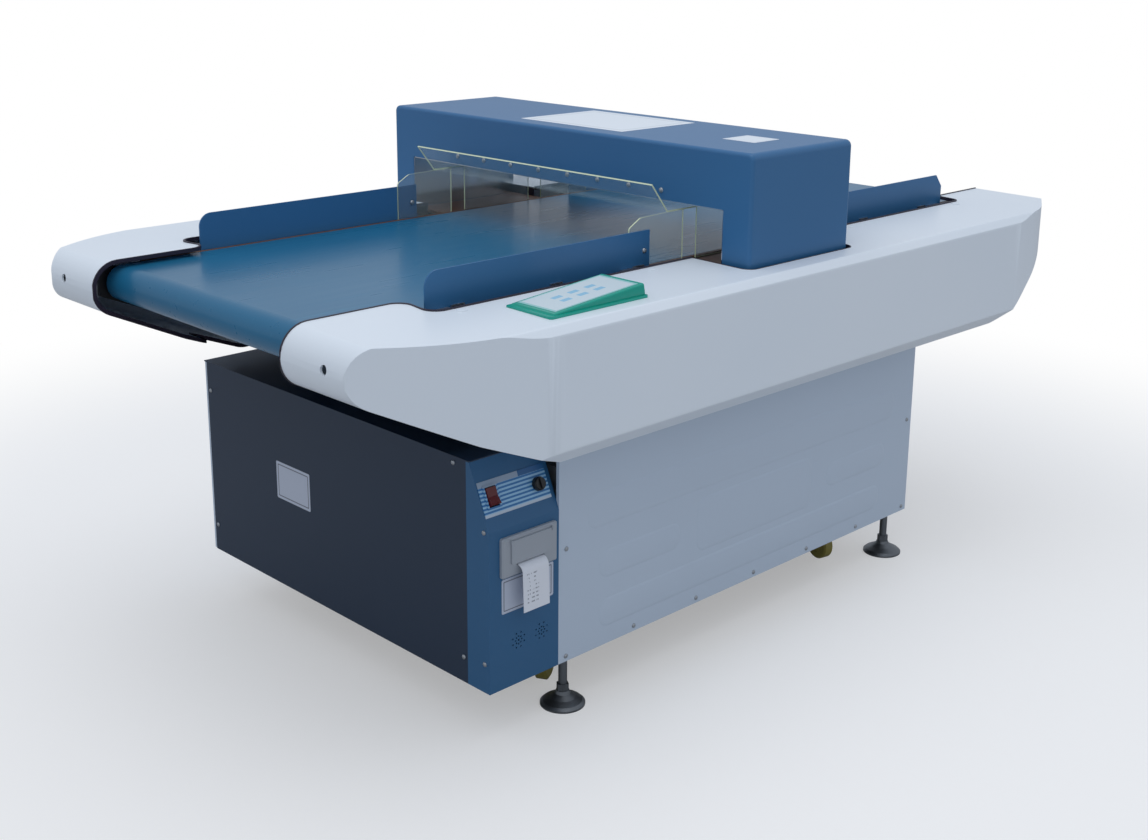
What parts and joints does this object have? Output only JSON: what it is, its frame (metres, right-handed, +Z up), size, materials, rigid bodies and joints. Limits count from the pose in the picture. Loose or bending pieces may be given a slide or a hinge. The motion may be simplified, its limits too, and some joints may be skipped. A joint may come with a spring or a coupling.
{
  "type": "conveyor metal detector",
  "caption": "Belt conveyor metal detector with a bridging search head, moulded side covers, keypad console, panel printer, and a steel cabinet on levelling feet and castors.",
  "frame": {"origin": "on the floor under the middle of the machine", "axes": "+X along the belt towards the outfeed, +Y to the far side, +Z up; the control column and console are at -X, -Y"},
  "size_m": [1.924, 1.145, 0.969],
  "materials": {
    "frame_grey": "satin paint",
    "navy_paint": "satin powder coat",
    "white_paint": "satin powder coat",
    "blue_paint": "fine-textured powder coat",
    "belt_blue": "smooth food-grade belt",
    "bare_steel": "zinc plated",
    "phenolic_board": "brown laminated board",
    "black_paint": "satin black paint",
    "white_moulding": "moulded and painted, semi-gloss",
    "trim_rubber": "matt rubber edging",
    "cast_aluminium": "as machined",
    "stainless": "bright stainless sheet",
    "clear_acrylic": "clear with pale green edges",
    "motor_grey": "grey enamel",
    "black_rubber": "matt",
    "cast_iron": "painted casting",
    "plate_blue": "printed face plate",
    "switch_red": "moulded",
    "black_plastic": "moulded",
    "green_plastic": "moulded",
    "overlay_pale": "printed membrane",
    "printer_grey": "fine texture",
    "paper": "uncoated paper",
    "foot_steel": "dull plated",
    "castor_nylon": "moulded nylon"
  },
  "bodies": {
    "machine": {"welded_frame": "frame_grey", "end_panels": "navy_paint", "side_panel_near": "white_paint", "side_panel_far": "white_paint", "cabinet_sheets": "navy_paint", "control_column": "blue_paint", "belt": "belt_blue", "slider_bed": "phenolic_board", "side_frames": "black_paint", "conveyor_stand": "black_paint", "side_cover_near": "white_moulding", "side_cover_far": "white_moulding", "edge_trims": "trim_rubber", "cover_fixings": "white_moulding", "head_shell": "blue_paint", "upper_sensor": "cast_aluminium", "lower_sensor": "cast_aluminium", "tunnel_liner": "stainless", "guide_rail_infeed_near": "blue_paint", "guide_rail_infeed_far": "blue_paint", "guide_rail_outfeed_near": "blue_paint", "guide_rail_outfeed_far": "blue_paint", "tunnel_guards": "clear_acrylic", "visors": "clear_acrylic", "gear_motor": "motor_grey", "drive_belt": "black_rubber", "shaft_bearings": "cast_iron", "mounting_brackets": "bare_steel", "switch_plate": "plate_blue", "speakers": "black_plastic", "console_housing": "green_plastic", "console_overlay": "overlay_pale", "printer_case": "printer_grey", "paper_strip": "paper", "electronics_boxes": "frame_grey", "cable_gland": "black_plastic", "foot_lock_nuts": "bare_steel"},
    "drive_drum": {"drive_drum": "bare_steel"},
    "tail_drum": {"tail_drum": "bare_steel"},
    "return_roller_left": {"return_roller_left": "bare_steel"},
    "return_roller_right": {"return_roller_right": "bare_steel"},
    "motor_pulley": {"motor_pulley": "cast_aluminium"},
    "tension_screw_near": {"tension_screw_near": "bare_steel"},
    "tension_screw_far": {"tension_screw_far": "bare_steel"},
    "power_rocker": {"power_rocker": "switch_red"},
    "volume_knob": {"volume_knob": "black_plastic"},
    "printer_door": {"printer_door": "printer_grey"},
    "paper_roll": {"paper_roll": "paper"},
    "levelling_foot_near_left": {"levelling_foot_near_left": "foot_steel"},
    "castor_fork_near_left": {"castor_fork_near_left": "bare_steel"},
    "castor_wheel_near_left": {"castor_wheel_near_left": "castor_nylon"},
    "levelling_foot_near_right": {"levelling_foot_near_right": "foot_steel"},
    "castor_fork_near_right": {"castor_fork_near_right": "bare_steel"},
    "castor_wheel_near_right": {"castor_wheel_near_right": "castor_nylon"},
    "levelling_foot_far_left": {"levelling_foot_far_left": "foot_steel"},
    "castor_fork_far_left": {"castor_fork_far_left": "bare_steel"},
    "castor_wheel_far_left": {"castor_wheel_far_left": "castor_nylon"},
    "levelling_foot_far_right": {"levelling_foot_far_right": "foot_steel"},
    "castor_fork_far_right": {"castor_fork_far_right": "bare_steel"},
    "castor_wheel_far_right": {"castor_wheel_far_right": "castor_nylon"}
  },
  "joints": [
    {"name": "drum_spin", "type": "hinge", "parent": "machine", "child": "drive_drum", "pos_m": [0.876, 0, 0.72], "axis": [0, 1, 0], "continuous": true},
    {"name": "tail_spin", "type": "hinge", "parent": "machine", "child": "tail_drum", "pos_m": [-0.876, 0, 0.72], "axis": [0, 1, 0], "continuous": true},
    {"name": "motor_spin", "type": "hinge", "parent": "machine", "child": "motor_pulley", "pos_m": [0.69, -0.356, 0.66], "axis": [0, 1, 0], "continuous": true},
    {"name": "roller_left_spin", "type": "hinge", "parent": "machine", "child": "return_roller_left", "pos_m": [-0.42, 0, 0.6666], "axis": [0, 1, 0], "continuous": true},
    {"name": "roller_right_spin", "type": "hinge", "parent": "machine", "child": "return_roller_right", "pos_m": [0.42, 0, 0.6666], "axis": [0, 1, 0], "continuous": true},
    {"name": "tension_near_turn", "type": "hinge", "parent": "machine", "child": "tension_screw_near", "pos_m": [-0.93, -0.4055, 0.725], "axis": [1, 0, 0], "continuous": true},
    {"name": "tension_far_turn", "type": "hinge", "parent": "machine", "child": "tension_screw_far", "pos_m": [-0.93, 0.4055, 0.725], "axis": [1, 0, 0], "continuous": true},
    {"name": "rocker_tilt", "type": "hinge", "parent": "machine", "child": "power_rocker", "pos_m": [-0.632, -0.41121, 0.44611], "axis": [1, 0, 0], "range_deg": [0, 14]},
    {"name": "knob_turn", "type": "hinge", "parent": "machine", "child": "volume_knob", "pos_m": [-0.531, -0.41555, 0.44363], "axis": [0, -0.9179, 0.3969], "range_deg": [-150, 150]},
    {"name": "printer_door_swing", "type": "hinge", "parent": "machine", "child": "printer_door", "pos_m": [-0.571, -0.4417, 0.3705], "axis": [-1, 0, 0], "range_deg": [0, 85]},
    {"name": "paper_roll_spin", "type": "hinge", "parent": "machine", "child": "paper_roll", "pos_m": [-0.571, -0.402, 0.35], "axis": [1, 0, 0], "continuous": true},
    {"name": "foot_near_left_level", "type": "slide", "parent": "machine", "child": "levelling_foot_near_left", "axis": [0, 0, 1], "range_m": [-0.02, 0.02]},
    {"name": "foot_near_right_level", "type": "slide", "parent": "machine", "child": "levelling_foot_near_right", "axis": [0, 0, 1], "range_m": [-0.02, 0.02]},
    {"name": "foot_far_left_level", "type": "slide", "parent": "machine", "child": "levelling_foot_far_left", "axis": [0, 0, 1], "range_m": [-0.02, 0.02]},
    {"name": "foot_far_right_level", "type": "slide", "parent": "machine", "child": "levelling_foot_far_right", "axis": [0, 0, 1], "range_m": [-0.02, 0.02]},
    {"name": "castor_near_left_swivel", "type": "hinge", "parent": "machine", "child": "castor_fork_near_left", "pos_m": [-0.4, -0.305, 0.095], "axis": [0, 0, 1], "continuous": true},
    {"name": "castor_near_left_roll", "type": "hinge", "parent": "castor_fork_near_left", "child": "castor_wheel_near_left", "pos_m": [-0.42624, -0.31954, 0.042], "axis": [0.4848, -0.8746, 0], "continuous": true},
    {"name": "castor_near_right_swivel", "type": "hinge", "parent": "machine", "child": "castor_fork_near_right", "pos_m": [0.4, -0.305, 0.095], "axis": [0, 0, 1], "continuous": true},
    {"name": "castor_near_right_roll", "type": "hinge", "parent": "castor_fork_near_right", "child": "castor_wheel_near_right", "pos_m": [0.39376, -0.33434, 0.042], "axis": [0.9781, -0.2079, 0], "continuous": true},
    {"name": "castor_far_left_swivel", "type": "hinge", "parent": "machine", "child": "castor_fork_far_left", "pos_m": [-0.4, 0.305, 0.095], "axis": [0, 0, 1], "continuous": true},
    {"name": "castor_far_left_roll", "type": "hinge", "parent": "castor_fork_far_left", "child": "castor_wheel_far_left", "pos_m": [-0.42598, 0.32, 0.042], "axis": [-0.5, -0.866, 0], "continuous": true},
    {"name": "castor_far_right_swivel", "type": "hinge", "parent": "machine", "child": "castor_fork_far_right", "pos_m": [0.4, 0.305, 0.095], "axis": [0, 0, 1], "continuous": true},
    {"name": "castor_far_right_roll", "type": "hinge", "parent": "castor_fork_far_right", "child": "castor_wheel_far_right", "pos_m": [0.42819, 0.31526, 0.042], "axis": [-0.342, 0.9397, 0], "continuous": true}
  ],
  "couplings": [
    {"joint": "tail_spin", "follows": "drum_spin", "ratio": 1},
    {"joint": "motor_spin", "follows": "drum_spin", "ratio": 1},
    {"joint": "roller_left_spin", "follows": "drum_spin", "ratio": -1.65},
    {"joint": "roller_right_spin", "follows": "drum_spin", "ratio": -1.65}
  ]
}
